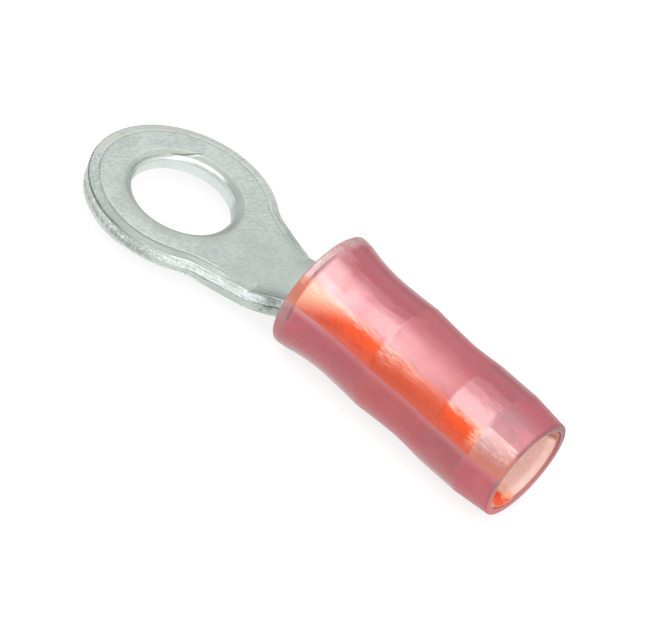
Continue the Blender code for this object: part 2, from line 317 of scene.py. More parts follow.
def makeTongue(look, material):
    outline, turns = tongueOutline(look)
    thick = look["thickness"]
    wallHigh = thick * 1000
    farIn = 3.0  # given to the rows at the hole, to keep them clear of the edge's marks
    rows, acrosses = [], []

    def sweep(places, across):
        # across: millimetres from the top edge, down the wall, or inward over the face when below zero
        rows.append([rolled(place, look) for place in places])
        acrosses.append(across)

    def outlineRow(inset, height, wear=0.0):
        row = []
        for (point, normal), turn in zip(outline, turns):
            place = point - normal * (inset - wear * wallWear(point, height(point, turn), look))
            row.append((place.x, place.y, height(point, turn)))
        return row

    def topHeight(inset):
        return lambda point, turn: thick - marginDepth(inset, point.x, turn, look)

    def holeRow(distance, height):
        # a circle round the hole; height depends on the angle, for the burr
        radius = look["holeRadius"] + distance
        return [(radius * math.cos(t), radius * math.sin(t), height(t)) for t in turns]

    def burr(distance, turn):
        # the rim that the punch threw up on the far side of the hole
        middle = (look["burrFrom"] + look["burrTo"]) / 2
        spread = (look["burrTo"] - look["burrFrom"]) / 2
        along = ease(1.6 * (1 - abs(turn - middle) / spread))
        across = ease(1 - abs(distance - look["burrWidth"] * 0.35) / (look["burrWidth"] * 0.65))
        ragged = 1 + 0.5 * noise.noise(Vector((turn * 9, distance * 9000, 0)))
        return look["burrHeight"] * along * across * ragged

    # the underside, from the hole to the edge
    rounding = look["edgeRound"]
    outer = outlineRow(look["undersideRim"], lambda point, turn: 0.0)
    inner = holeRow(look["holeRound"], lambda turn: 0.0)
    for k in range(look["undersideRows"] + 1):
        share = k / look["undersideRows"]
        row = [tuple(a + (b - a) * share for a, b in zip(low, high)) for low, high in zip(inner, outer)]
        sweep(row, wallHigh + farIn - (farIn - look["undersideRim"] * 1000) * share)
    sweep(outlineRow(rounding, lambda point, turn: 0.0), wallHigh + 0.05)
    # the wall, from the underside up
    for k in range(look["wallRows"] + 1):
        share = k / look["wallRows"]

        def wallHeight(point, turn, share=share):
            top = thick - marginDepth(0.0, point.x, turn, look) - rounding
            return rounding + (top - rounding) * share

        wear = 1.0 if 0 < share < 1 else 0.4
        sweep(outlineRow(0.0, wallHeight, wear), wallHigh * (1 - share))
    # the rounded corner and the margin, with the line where it ends
    for step in (0.3, 1.0, 2.5, 5, 8):
        inset = step * rounding
        lowered = rounding * 0.45 * max(0.0, 1 - step)
        level = topHeight(inset)
        sweep(outlineRow(inset, lambda point, turn: level(point, turn) - lowered), -inset * 1000)
    line, half = look["marginWidth"], look["marginLineWidth"]
    for inset in (line * 0.75, line - half, line - half / 2, line, line + half / 2, line + half):
        sweep(outlineRow(inset, topHeight(inset)), -inset * 1000)
    # the flat face, from the margin to the hole's drawn-down rim
    faceStart = line + 2 * half
    outer = outlineRow(faceStart, topHeight(faceStart))
    inner = holeRow(look["dishWidth"], lambda turn: thick)
    for k in range(look["faceRows"] + 1):
        share = k / look["faceRows"]
        row = []
        for low, high in zip(outer, inner):
            x, y, z = (a + (b - a) * share for a, b in zip(low, high))
            row.append((x, y, z + look["faceWaves"] * noise.noise(Vector((x * 900, y * 900, 7)))))
        sweep(row, -faceStart * 1000 - share)
    # the rim, then the hole's wall down to the underside
    for k in range(1, look["dishRows"] + 1):
        distance = look["dishWidth"] * (1 - k / look["dishRows"])
        drop = look["dishDepth"] * (1 - distance / look["dishWidth"]) ** look["dishPower"]
        sweep(holeRow(distance, lambda turn: thick - drop + burr(distance, turn)), -farIn)
    wallTop = thick - look["dishDepth"]
    for k in range(1, look["holeRows"] + 1):
        height = wallTop - (wallTop - look["holeRound"]) * k / look["holeRows"]
        row = []
        for x, y, z in holeRow(0.0, lambda turn: height):
            row.append((x + look["holeRelief"] * noise.noise(Vector((x * 5000, y * 5000, z * 1200))), y, z))
        sweep(row, -farIn)
    alongs = [0.0]
    for (point, normal), (other, otherNormal) in zip(outline, outline[1:]):
        alongs.append(alongs[-1] + (other - point).length * 1000)
    return finishMesh(wrapped(rows, alongs, acrosses), "stampedTongue", material, math.radians(50))


def makeBarrel(material):
    # the rest of the stamping: the CAD barrel past the tongue's end
    shape = bmesh.new()
    shape.from_mesh(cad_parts["ring_tongue"].data)
    bmesh.ops.remove_doubles(shape, verts=shape.verts, dist=1e-7)
    cutX = sleeveFront + tongueLook["insideSleeve"] - tongueLook["endCorner"]
    bmesh.ops.bisect_plane(shape, geom=shape.verts[:] + shape.edges[:] + shape.faces[:], dist=1e-7,
                           plane_co=(cutX, 0, 0), plane_no=(1, 0, 0), clear_inner=True)
    edges = [edge for edge in shape.edges if edge.is_boundary]
    bmesh.ops.holes_fill(shape, edges=edges, sides=0)
    return finishMesh(shape, "wireBarrel", material, math.radians(40))


tinLook = {
    "dark": (0.475, 0.525, 0.49, 1), "light": (0.615, 0.665, 0.635, 1), "neck": (0.43, 0.50, 0.455, 1),
    "nearHoleShade": (0.46, 0.49, 0.45, 1), "slope": (0.46, 0.49, 0.45, 1), "paintedHighlight": (0.90, 0.97, 0.955, 1),
    "margin": (0.71, 0.74, 0.705, 1), "straw": (0.66, 0.66, 0.60, 1), "line": (0.32, 0.36, 0.335, 1),
    "sootAndShadow": (0.09, 0.105, 0.095, 1), "torn": (0.29, 0.31, 0.29, 1), "bright": (0.93, 0.98, 0.965, 1),
    "litNeckWall": (0.74, 0.83, 0.81, 1), "nearMarginShade": (0.37, 0.42, 0.385, 1),
    "litWall": (0.67, 0.72, 0.70, 1), "litWallBrighter": (0.75, 0.80, 0.78, 1),
    "roughness": 0.34, "slopeRoughness": 0.5, "brushing": -61.0,
}


def faceMarks(tree, look, color, fromHole, radius, around):
    # duller toward the neck, and painted shade on the near side of the hole
    color = painted(tree, color, look["neck"], ramped(tree, fromHole, 2.2, 4.2), 0.45)
    nearSide = product(tree, ramped(tree, radius, 3.05, 2.55), band(tree, around, 228, 30, 352, 24))
    color = painted(tree, color, look["nearHoleShade"], nearSide, 0.75)
    # the drawn-down rim: painted shade round the far side, less so at its right end
    slope = ramped(tree, radius, 2.53, 2.45)
    dull = remaining(tree, product(tree, band(tree, around, 160, 50, 336, 30), 0.85))
    dull = product(tree, dull, remaining(tree, product(tree, band(tree, around, 18, 20, 50, 16), 0.4)))
    color = painted(tree, color, look["slope"], slope, dull)
    # the hole's wall below it: painted paler as if lit, and streaked from top to bottom
    litWall = product(tree, ramped(tree, radius, 2.22, 2.18), band(tree, around, 14, 14, 196, 20))
    streaks = grain(tree, stretched(tree, around, (0.16, 0, 0)), 1.0, 3.0, 0.6)
    wall = tinted(tree, ramped(tree, streaks, 0.3, 0.7), look["litWall"], look["litWallBrighter"])
    wall = painted(tree, wall, look["litWallBrighter"], band(tree, around, 96, 20, 146, 20), 0.7)
    # painted shade on its right side
    wall = painted(tree, wall, look["slope"], band(tree, around, 22, 16, 54, 12), 0.65)
    color = tinted(tree, litWall, color, wall)
    # a thin painted highlight where the punch rolled a burr over on the far side
    burrHighlight = band(tree, radius, 2.205, 0.05, 2.285, 0.05)
    color = painted(tree, color, look["paintedHighlight"], burrHighlight, band(tree, around, 84, 16, 142, 10))
    # a sickle-shaped nick beside the burr, a glint within its bend, and a darker arc to its left
    bend = maths(tree, "POWER", most(tree, maths(tree, "SUBTRACT", 137.0, around), 0.0), 1.5)
    off = maths(tree, "SUBTRACT", radius, maths(tree, "ADD", product(tree, bend, 0.0036), 2.31))
    glint = product(tree, band(tree, off, -0.12, 0.04, -0.05, 0.03), band(tree, around, 116, 4, 128, 8))
    color = painted(tree, color, look["paintedHighlight"], glint, 0.45)
    nick = ramped(tree, maths(tree, "ABSOLUTE", off), 0.05, 0.015)
    nick = product(tree, nick, band(tree, around, 117, 3, 146, 10), 0.62)
    arc = product(tree, band(tree, radius, 2.24, 0.05, 2.29, 0.04),
                  band(tree, around, 156, 12, 204, 16), 0.28)
    return tinted(tree, most(tree, nick, arc), color, look["sootAndShadow"]), slope


def edgeMarks(tree, look, color, fromHole, around):
    # the coined margin, the line inside it, and the sheared wall, by distance along and across the edge
    marks = tree.nodes.new("ShaderNodeAttribute")
    marks.attribute_name = "edge"
    edge = marks.outputs["Vector"]
    split = tree.nodes.new("ShaderNodeSeparateXYZ")
    plug(tree, edge, split.inputs[0])
    across = split.outputs[1]
    cross = grain(tree, stretched(tree, edge, (9.0, 1.5, 1.0)), 1.0, 3.0, 0.6)
    blobs = grain(tree, stretched(tree, edge, (6.5, 8.0, 1.0)), 1.0, 2.0, 0.6)
    strokes = grain(tree, stretched(tree, edge, (1.7, 13.0, 1.0)), 1.0, 2.0, 0.5)
    onRing = ramped(tree, fromHole, 4.2, 2.4)
    margin = product(tree, band(tree, across, -0.40, 0.04, -0.02, 0.03), onRing)
    shade = maths(tree, "SUBTRACT", ramped(tree, cross, 0.2, 0.75), ramped(tree, around, 200, 262))
    color = painted(tree, color, look["margin"], margin, most(tree, shade, 0.0))
    # painted shade over the margin on the near side
    color = painted(tree, color, look["nearMarginShade"], margin, ramped(tree, around, 232, 270))
    stained = maths(tree, "ADD", band(tree, around, 128, 16, 160, 16), band(tree, around, 178, 10, 202, 10))
    color = painted(tree, color, look["straw"], margin, stained, 0.45)
    # more painted shade in blotches over the margin's near side
    color = painted(tree, color, look["line"], margin, band(tree, around, 205, 14, 262, 20),
                    ramped(tree, blobs, 0.42, 0.6), 0.55)
    # painted shade along the line where the coining ends, strongest on the near side and fading before the
    # neck
    strength = maths(tree, "ADD", product(tree, band(tree, around, 198, 14, 335, 10), 0.5), 0.42)
    nearNeck = product(tree, band(tree, around, 250, 20, 357, 4), ramped(tree, fromHole, 1.4, 3.0))
    color = painted(tree, color, look["line"], band(tree, across, -0.465, 0.04, -0.385, 0.04),
                    ramped(tree, strokes, 0.25, 0.55), strength, ramped(tree, fromHole, 7.0, 3.0),
                    remaining(tree, nearNeck))
    # the wall: dents and painted highlights in bright blobs above its middle, and a torn grey zone below
    near = maths(tree, "ADD", product(tree, band(tree, around, 212, 20, 305, 30), 0.6), 0.4)
    upper = product(tree, band(tree, across, 0.06, 0.06, 0.40, 0.08), near)
    color = painted(tree, color, look["torn"], upper, ramped(tree, blobs, 0.56, 0.40), 0.5)
    color = painted(tree, color, look["bright"], upper, ramped(tree, blobs, 0.55, 0.68), 0.8)
    lower = product(tree, band(tree, across, 0.38, 0.1, 0.61, 0.06), near, ramped(tree, fromHole, 2.4, 0.8))
    color = painted(tree, color, look["torn"], lower, ramped(tree, cross, 0.66, 0.42), 0.85)
    # a painted shadow line under the ring's top edge
    shadowLine = product(tree, band(tree, across, -0.04, 0.03, 0.08, 0.04), band(tree, around, 150, 24, 274, 44))
    color = painted(tree, color, look["sootAndShadow"], shadowLine, ramped(tree, strokes, 0.2, 0.5), 0.78)
    # along the neck: a wall painted pale as if lit, painted highlights in flecks, dents, and a painted
    # highlight along its foot
    neck = ramped(tree, fromHole, 1.0, 2.6)
    color = painted(tree, color, look["litNeckWall"], neck, band(tree, across, 0.05, 0.05, 0.42, 0.05),
                    ramped(tree, strokes, 0.25, 0.6))
    color = painted(tree, color, look["bright"], neck, band(tree, across, 0.04, 0.05, 0.46, 0.05),
                    ramped(tree, blobs, 0.48, 0.66), 0.8)
    color = painted(tree, color, look["torn"], neck, band(tree, across, 0.08, 0.05, 0.70, 0.05),
                    ramped(tree, blobs, 0.43, 0.30), 0.4)
    color = painted(tree, color, look["bright"], band(tree, across, 0.71, 0.05, 0.82, 0.02),
                    band(tree, fromHole, 0.2, 1.2, 3.4, 1.0), ramped(tree, cross, 0.3, 0.5), 0.85)
    # painted shade on the face along the neck's edge, in the torn zone's grey
    color = painted(tree, color, look["torn"], band(tree, across, -0.34, 0.2, -0.08, 0.06),
                    band(tree, fromHole, 1.8, 1.2, 5.2, 0.8), ramped(tree, strokes, 0.35, 0.6), 0.4)
    # a broken dark line between the two layers of the neck's wall, and a painted highlight along its top
    # edge
    color = painted(tree, color, look["sootAndShadow"], band(tree, across, 0.39, 0.04, 0.48, 0.05),
                    ramped(tree, fromHole, 2.2, 3.4), ramped(tree, strokes, 0.42, 0.62), 0.7)
    color = painted(tree, color, look["bright"], band(tree, across, -0.05, 0.04, 0.07, 0.04),
                    ramped(tree, fromHole, 1.2, 2.6), ramped(tree, strokes, 0.40, 0.60),
                    ramped(tree, blobs, 0.36, 0.52), 0.8)
    # scuffs before the sleeve
    scuffed = band(tree, fromHole, 5.7, 0.5, 7.6, 0.1)
    onEdge = product(tree, scuffed, band(tree, across, -0.55, 0.2, 0.6, 0.1),
                     ramped(tree, strokes, 0.50, 0.60))
    pitted = product(tree, scuffed, band(tree, across, 0.02, 0.05, 0.7, 0.1),
                     ramped(tree, blobs, 0.44, 0.32), 0.7)
    return painted(tree, color, look["sootAndShadow"], most(tree, onEdge, pitted), 0.45), blobs


def makeTin(look, name, marked):
    material, tree = newMaterial(name)
    shader = tree.nodes["Principled BSDF"]
    shader.inputs["Metallic"].default_value = 1.0
    place, x, y, z = millimetres(tree)
    brushing = stretched(tree, turned(tree, place, look["brushing"]), (4.5, 9.0, 9.0))
    fine = grain(tree, brushing, 1.0, 3.0, 0.6)
    slow = grain(tree, place, 0.9, 2.0, 0.5)
    tone = maths(tree, "ADD", product(tree, fine, 0.6), product(tree, slow, 0.4))
    color = tinted(tree, ramped(tree, tone, 0.38, 0.62), look["dark"], look["light"])
    relief, rougher = tone, 0.0
    if marked:
        # distance from the hole's centre, and degrees round it: 90 on the far side, 270 on the near side
        fromHole = maths(tree, "SUBTRACT", x, holeX * 1000)
        radius = hypotenuse(tree, fromHole, y)
        back = maths(tree, "ARCTAN2", product(tree, y, -1.0), product(tree, fromHole, -1.0))
        around = maths(tree, "ADD", product(tree, back, 180 / math.pi), 180.0)
        color, slope = faceMarks(tree, look, color, fromHole, radius, around)
        color, blobs = edgeMarks(tree, look, color, fromHole, around)
        relief = maths(tree, "ADD", tone, product(tree, blobs, ramped(tree, z, 1.75, 1.7)))
        rougher = product(tree, slope, look["slopeRoughness"] - look["roughness"])
    plug(tree, color, shader.inputs["Base Color"])
    roughness = maths(tree, "ADD", product(tree, fine, 0.16), look["roughness"] - 0.08)
    plug(tree, maths(tree, "ADD", roughness, rougher), shader.inputs["Roughness"])
    plug(tree, bumped(tree, relief, 0.00001, 0.8), shader.inputs["Normal"])
    return material


tongue = makeTongue(tongueLook, makeTin(tinLook, "tinnedCopper", True))
barrel = makeBarrel(makeTin(tinLook, "tinnedBarrel", False))
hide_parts("ring_tongue")
for piece in (tongue, barrel):
    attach(piece, "root")
print("stamping made")


# The copper grip sleeve inside the nylon: it shows only at the wire end

gripLook = {
    "bore": 0.00164, "outer": 0.001905, "funnelLength": 0.00035, "funnelFlare": 0.00009,
    "chamfer": 0.00005, "edgeRound": 0.00002, "steps": 160,
    "color": (1.0, 0.84, 0.79, 1), "shade": (1.0, 0.80, 0.74, 1), "brown": (0.50, 0.20, 0.12, 1),
    "patch": (1.0, 0.23, 0.10, 1), "patchEdge": (1.0, 0.62, 0.42, 1), "endFace": (0.62, 0.30, 0.28, 1),
    "roughness": 0.85,
}


def spun(shape, profile, steps):
    # turns a closed profile of (x, radius) about the barrel's centre line
    edges = addLoop(shape, [(x, 0, axisZ + radius) for x, radius in profile])
    bmesh.ops.spin(shape, geom=shape.verts[:] + edges, cent=(0, 0, axisZ), axis=(1, 0, 0),
                   angle=2 * math.pi, steps=steps, use_merge=True)


def makeGrip(look, material):
    front, back = gripLow.x, gripHigh.x
    bore, outer, rounding = look["bore"], look["outer"], look["edgeRound"]
    mouth = bore + look["funnelFlare"]
    cut = rounding * 0.3
    profile = [(front, bore), (front, outer - look["chamfer"]), (front + look["chamfer"], outer)]
    profile += [(back - rounding, outer), (back - cut, outer - cut), (back, outer - rounding)]
    profile += [(back, mouth + rounding), (back - cut, mouth + cut), (back - rounding, mouth)]
    for k in range(1, 9):
        share = k / 8
        place = back - rounding - look["funnelLength"] * share
        profile.append((place, mouth - look["funnelFlare"] * ease(share)))
    deep = back - rounding - look["funnelLength"]
    for k in range(1, 12):
        profile.append((deep + (front - deep) * k / 12, bore))
    shape = bmesh.new()
    spun(shape, profile, look["steps"])
    return finishMesh(shape, "gripSleeve", material, math.radians(40))


def axisAngle(tree, y, z):
    # degrees round the barrel's centre line, 0 toward +Y and 90 upward
    height = maths(tree, "SUBTRACT", z, axisZ * 1000)
    return maths(tree, "MULTIPLY", maths(tree, "ARCTAN2", height, y), 180 / math.pi)


def makeCopper(look):
    material, tree = newMaterial("bareCopper")
    shader = tree.nodes["Principled BSDF"]
    shader.inputs["Metallic"].default_value = 1.0
    place, x, y, z = millimetres(tree)
    mottled = ramped(tree, grain(tree, place, 5.0, 3.0), 0.35, 0.75)
    color = tinted(tree, mottled, look["color"], look["shade"])
    # an orange patch inside the mouth below, with a paler border
    around = axisAngle(tree, y, z)
    end = gripHigh.x * 1000
    ragged = frayed(tree, x, grain(tree, place, 3.5, 3.0), 0.9)
    raggedAround = frayed(tree, around, grain(tree, place, 2.6, 3.0), 50.0)
    orangeSpread = product(tree, band(tree, raggedAround, -140, 6, -82, 12),
                    ramped(tree, ragged, end - 1.3, end - 1.0))
    color = tinted(tree, orangeSpread, color, look["patchEdge"])
    color = painted(tree, color, look["patch"], band(tree, raggedAround, -132, 6, -92, 8),
                    ramped(tree, ragged, end - 1.0, end - 0.85))
    # a brown place above
    color = painted(tree, color, look["brown"], band(tree, around, 26, 14, 66, 10),
                    ramped(tree, x, end - 0.75, end - 0.5), 0.8)
    # the end face, less where the orange patch runs over it
    color = painted(tree, color, look["endFace"], ramped(tree, x, end - 0.03, end - 0.01),
                    remaining(tree, product(tree, orangeSpread, 0.6)))
    plug(tree, color, shader.inputs["Base Color"])
    uneven = product(tree, grain(tree, place, 9.0, 2.0), 0.2)
    plug(tree, maths(tree, "ADD", uneven, look["roughness"] - 0.1), shader.inputs["Roughness"])
    plug(tree, bumped(tree, grain(tree, place, 9.0, 2.0), 0.000004, 0.5), shader.inputs["Normal"])
    return material


grip = makeGrip(gripLook, makeCopper(gripLook))
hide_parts("grip_sleeve")
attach(grip, "root")
print("grip sleeve made")


# The nylon sleeve: places are measured from its front end, radii from the barrel's centre line

sleeveLook = {
    "bore": 0.00191, "mouth": 0.00219, "mouthLength": 0.00122,
    "lipRadius": 0.00259, "lipRound": 0.00007, "lipLength": 0.00037, "lipBack": 0.00005,
    "grooveLength": 0.0001, "grooveRadius": 0.00252,
    "flare": (0.00047, 0.00256), "frontWaist": (0.00239, 0.002326), "middleRidge": (0.00416, 0.002394),
    "rearWaist": (0.00619, 0.002276), "rearRidge": (0.00756, 0.002365), "bandEnd": (0.00926, 0.002365),
    "wireEndRadius": 0.002195, "wireEndRound": 0.00006, "flarePower": 2.0, "waistPower": 1.5,
    "step": 0.00007, "turns": 192,
}


def sleeveProfile(look):
    length = sleeveBack - sleeveFront

    def slope(low, high, power):
        # places and radii from one end to the other, lowest and level at low
        steps = max(2, round(abs(high[0] - low[0]) / look["step"]))
        run, rise = high[0] - low[0], high[1] - low[1]
        return [(low[0] + run * k / steps, low[1] + rise * (k / steps) ** power) for k in range(steps + 1)]

    profile = []
    for k in range(7):
        turn = math.pi / 2 * k / 6
        profile.append((look["lipRound"] * (1 - math.cos(turn)),
                        look["lipRadius"] - look["lipRound"] * (1 - math.sin(turn))))
    profile.append((look["lipLength"] * 0.7, look["lipRadius"] - look["lipBack"] * 0.2))
    profile.append((look["lipLength"], look["lipRadius"] - look["lipBack"]))
    profile.append((look["lipLength"] + look["grooveLength"] * 0.35, look["grooveRadius"]))
    profile.append((look["lipLength"] + look["grooveLength"] * 0.7, look["grooveRadius"]))
    profile += slope(look["frontWaist"], look["flare"], look["flarePower"])[::-1]
    profile += slope(look["frontWaist"], look["middleRidge"], look["waistPower"])[1:]
    profile += slope(look["rearWaist"], look["middleRidge"], look["waistPower"])[-2::-1]
    profile += slope(look["rearWaist"], look["rearRidge"], look["waistPower"])[1:]
    wireEnd = (length - look["wireEndRound"], look["wireEndRadius"])
    profile += slope(look["rearRidge"], look["bandEnd"], 1.0)[1:]
    profile += slope(look["bandEnd"], wireEnd, 1.0)[1:]
    for k in range(1, 5):
        turn = math.pi / 2 * k / 4
        profile.append((length - look["wireEndRound"] * (1 - math.sin(turn)),
                        look["wireEndRadius"] - look["wireEndRound"] * (1 - math.cos(turn))))
    for k in range(24):
        profile.append((length + (look["mouthLength"] - length) * k / 23, look["bore"]))
    for k in range(1, 11):
        share = k / 10
        radius = look["bore"] + (look["mouth"] - look["bore"]) * share ** 1.6
        profile.append((look["mouthLength"] * (1 - share), radius))
    return [(sleeveFront + place, radius) for place, radius in profile]


def makeSleeve(look, material):
    shape = bmesh.new()
    spun(shape, sleeveProfile(look), look["turns"])
    return finishMesh(shape, "nylonSleeve", material, math.radians(40))


# places along the sleeve in millimetres from its front, angles round it in degrees
nylonLook = {
    "sections": [
        (0.0, (0.42, 0.25, 0.245, 1)), (0.36, (0.43, 0.22, 0.225, 1)), (0.42, (0.46, 0.18, 0.185, 1)),
        (0.7, (0.50, 0.06, 0.085, 1)), (4.1, (0.46, 0.035, 0.055, 1)), (4.4, (0.50, 0.07, 0.08, 1)),
        (7.4, (0.46, 0.05, 0.06, 1)), (7.55, (0.43, 0.045, 0.055, 1)), (9.15, (0.41, 0.045, 0.055, 1)),
        (9.3, (0.48, 0.07, 0.09, 1)), (10.7, (0.58, 0.10, 0.12, 1)), (10.85, (0.36, 0.11, 0.12, 1)),
    ],
    "blotchAndShade": (0.38, 0.035, 0.07, 1), "fair": (0.62, 0.13, 0.17, 1), "glow": (0.78, 0.38, 0.38, 1),
    "low": (0.86, 0.012, 0.03, 1), "lowAtEnd": (0.90, 0.085, 0.12, 1), "high": (0.29, 0.025, 0.045, 1),
    "mauve": (0.28, 0.07, 0.085, 1), "inside": (0.60, 0.27, 0.26, 1),
    "stripeFrom": 136.0, "stripeTo": 164.0,
    "stripe": (0.86, 0.08, 0.004, 1), "stripeLow": (0.64, 0.05, 0.004, 1),
    "stripeMiddle": (0.57, 0.055, 0.010, 1), "stripeAtLip": (0.59, 0.195, 0.13, 1),
    "stripeAtEnd": (0.56, 0.16, 0.11, 1), "wornAndSheen": (1.0, 0.59, 0.46, 1), "wornThinAndSheen": (1.0, 0.42, 0.26, 1),
    "scuffedSheen": (0.66, 0.37, 0.37, 1), "scuffedSheenEnd": (0.62, 0.30, 0.27, 1),
    "scuffedSheenLow": (0.50, 0.15, 0.105, 1), "scuffedSheenLight": (0.88, 0.66, 0.64, 1),
    "roughness": 0.17, "middleRoughness": 0.36, "taperRoughness": 0.46, "wornRoughness": 0.3,
    "rimRoughness": 0.62,
}


def bodyColor(tree, look, place, along, around):
    # a little different from section to section, and blotched
    ramp = tree.nodes.new("ShaderNodeValToRGB")
    length = (sleeveBack - sleeveFront) * 1000
    stops = ramp.color_ramp.elements
    first, last = look["sections"][0], look["sections"][-1]
    stops[0].position, stops[0].color = first[0] / length, first[1]
    stops[1].position, stops[1].color = min(1.0, last[0] / length), last[1]
    for distance, color in look["sections"][1:-1]:
        stops.new(distance / length).color = color
    plug(tree, maths(tree, "DIVIDE", along, length), ramp.inputs["Fac"])
    cloud = grain(tree, stretched(tree, place, (0.7, 1, 1)), 1.3, 4.0, 0.65)
    body = painted(tree, ramp.outputs["Color"], look["blotchAndShade"], ramped(tree, cloud, 0.5, 0.34), 0.4)
    body = painted(tree, body, look["fair"], ramped(tree, cloud, 0.52, 0.7), 0.35)
    # painted light and shade: redder and brighter below, darker above; and painted shade in mauve streaks
    # over the taper's upper side
    beneath = ramped(tree, maths(tree, "SINE", product(tree, around, math.pi / 180)), 0.2, -0.6)
    low = tinted(tree, ramped(tree, along, 9.2, 9.4), look["low"], look["lowAtEnd"])
    body = painted(tree, body, low, beneath, 0.8)
    upper = maths(tree, "SUBTRACT", 0.8, product(tree, band(tree, along, 4.2, 0.3, 7.5, 0.2), 0.15))
    body = painted(tree, body, look["high"], upper, band(tree, around, 64, 24, 112, 26),
                   ramped(tree, along, 0.4, 0.6))
    streaked = grain(tree, stretched(tree, place, (0.25, 1, 1)), 4.0, 3.0, 0.6)
    body = painted(tree, body, look["mauve"], band(tree, around, 98, 20, 133, 4),
                   band(tree, along, 9.3, 0.2, 10.6, 0.9), ramped(tree, streaked, 0.1, 0.7))
    # painted shade in the corners behind the lip and before the taper
    cornerShade = most(tree, band(tree, along, 0.40, 0.04, 0.56, 0.1),
                   band(tree, along, 9.08, 0.06, 9.28, 0.04))
    body = painted(tree, body, look["blotchAndShade"], cornerShade, ramped(tree, around, 156, 168), 0.6)
    # painted highlights in the wall above the stripe, most behind the lip, before the middle ridge and on
    # the rear band, and a painted light band just under the stripe
    above = product(tree, band(tree, around, 110, 16, 141, 8), band(tree, along, 0.45, 0.2, 2.0, 1.6), 0.55)
    under = maths(tree, "ADD", product(tree, band(tree, along, 0.5, 0.2, 1.8, 1.6), 0.3), 0.22)
    under = product(tree, under, band(tree, around, 163, 1, 168, 8))
    ridge = product(tree, band(tree, along, 3.0, 0.9, 5.2, 1.2), band(tree, around, 112, 10, 138, 8), 0.26)
    rear = product(tree, band(tree, along, 7.5, 0.2, 9.3, 0.1), band(tree, around, 122, 12, 150, 8), 0.18)
    return tinted(tree, most(tree, above, under, ridge, rear), body, look["glow"])


def stripeWearAndSheen(tree, place, along, around):
    # where the stripe is paler: behind the lip a painted highlight washing it out, past the middle ridge and
    # before the taper scuffed ink
    speckle = grain(tree, place, 11.0, 4.0, 0.7)
    streak = grain(tree, stretched(tree, place, (0.22, 1, 1)), 9.0, 3.0, 0.6)
    flaky = maths(tree, "ADD", product(tree, speckle, 0.45), streak)
    raggedAround = frayed(tree, around, speckle, 22.0)
    slanted = maths(tree, "ADD", raggedAround, product(tree, along, 12.5))
    front = product(tree, ramped(tree, slanted, 181, 152), ramped(tree, along, 0.36, 0.5))
    middle = product(tree, band(tree, along, 4.2, 0.3, 5.0, 1.0), ramped(tree, raggedAround, 158, 140),
                     ramped(tree, flaky, 0.54, 0.92), 0.8)
    faint = product(tree, band(tree, along, 4.4, 0.4, 6.4, 1.8), ramped(tree, raggedAround, 151, 140),
                    ramped(tree, streak, 0.35, 0.65), 0.3)
    rear = product(tree, band(tree, along, 9.0, 0.4, 9.6, 0.5), ramped(tree, raggedAround, 164, 146),
                   ramped(tree, flaky, 0.48, 0.88), 0.85)
    return most(tree, front, middle, faint, rear), speckle, streak, raggedAround


def stripeInk(tree, look, along, around, streak):
    # soft above, sharp below, deeper red along its lower side, dull across the lip and on the taper
    mask = band(tree, around, look["stripeFrom"], 8.0, look["stripeTo"], 1.5)
    drawn = frayed(tree, around, streak, 26.0)
    ink = tinted(tree, ramped(tree, drawn, 144, 163), look["stripe"], look["stripeLow"])
    # paler along its upper edge, a painted highlight running onto it
    ink = painted(tree, ink, look["wornThinAndSheen"], ramped(tree, drawn, 143, 134), 0.35)
    ink = painted(tree, ink, look["stripeMiddle"], band(tree, along, 4.2, 0.3, 7.6, 0.1), 0.75)
    ink = tinted(tree, ramped(tree, along, 0.46, 0.34), ink, look["stripeAtLip"])
    return mask, tinted(tree, ramped(tree, along, 9.3, 9.45), ink, look["stripeAtEnd"])


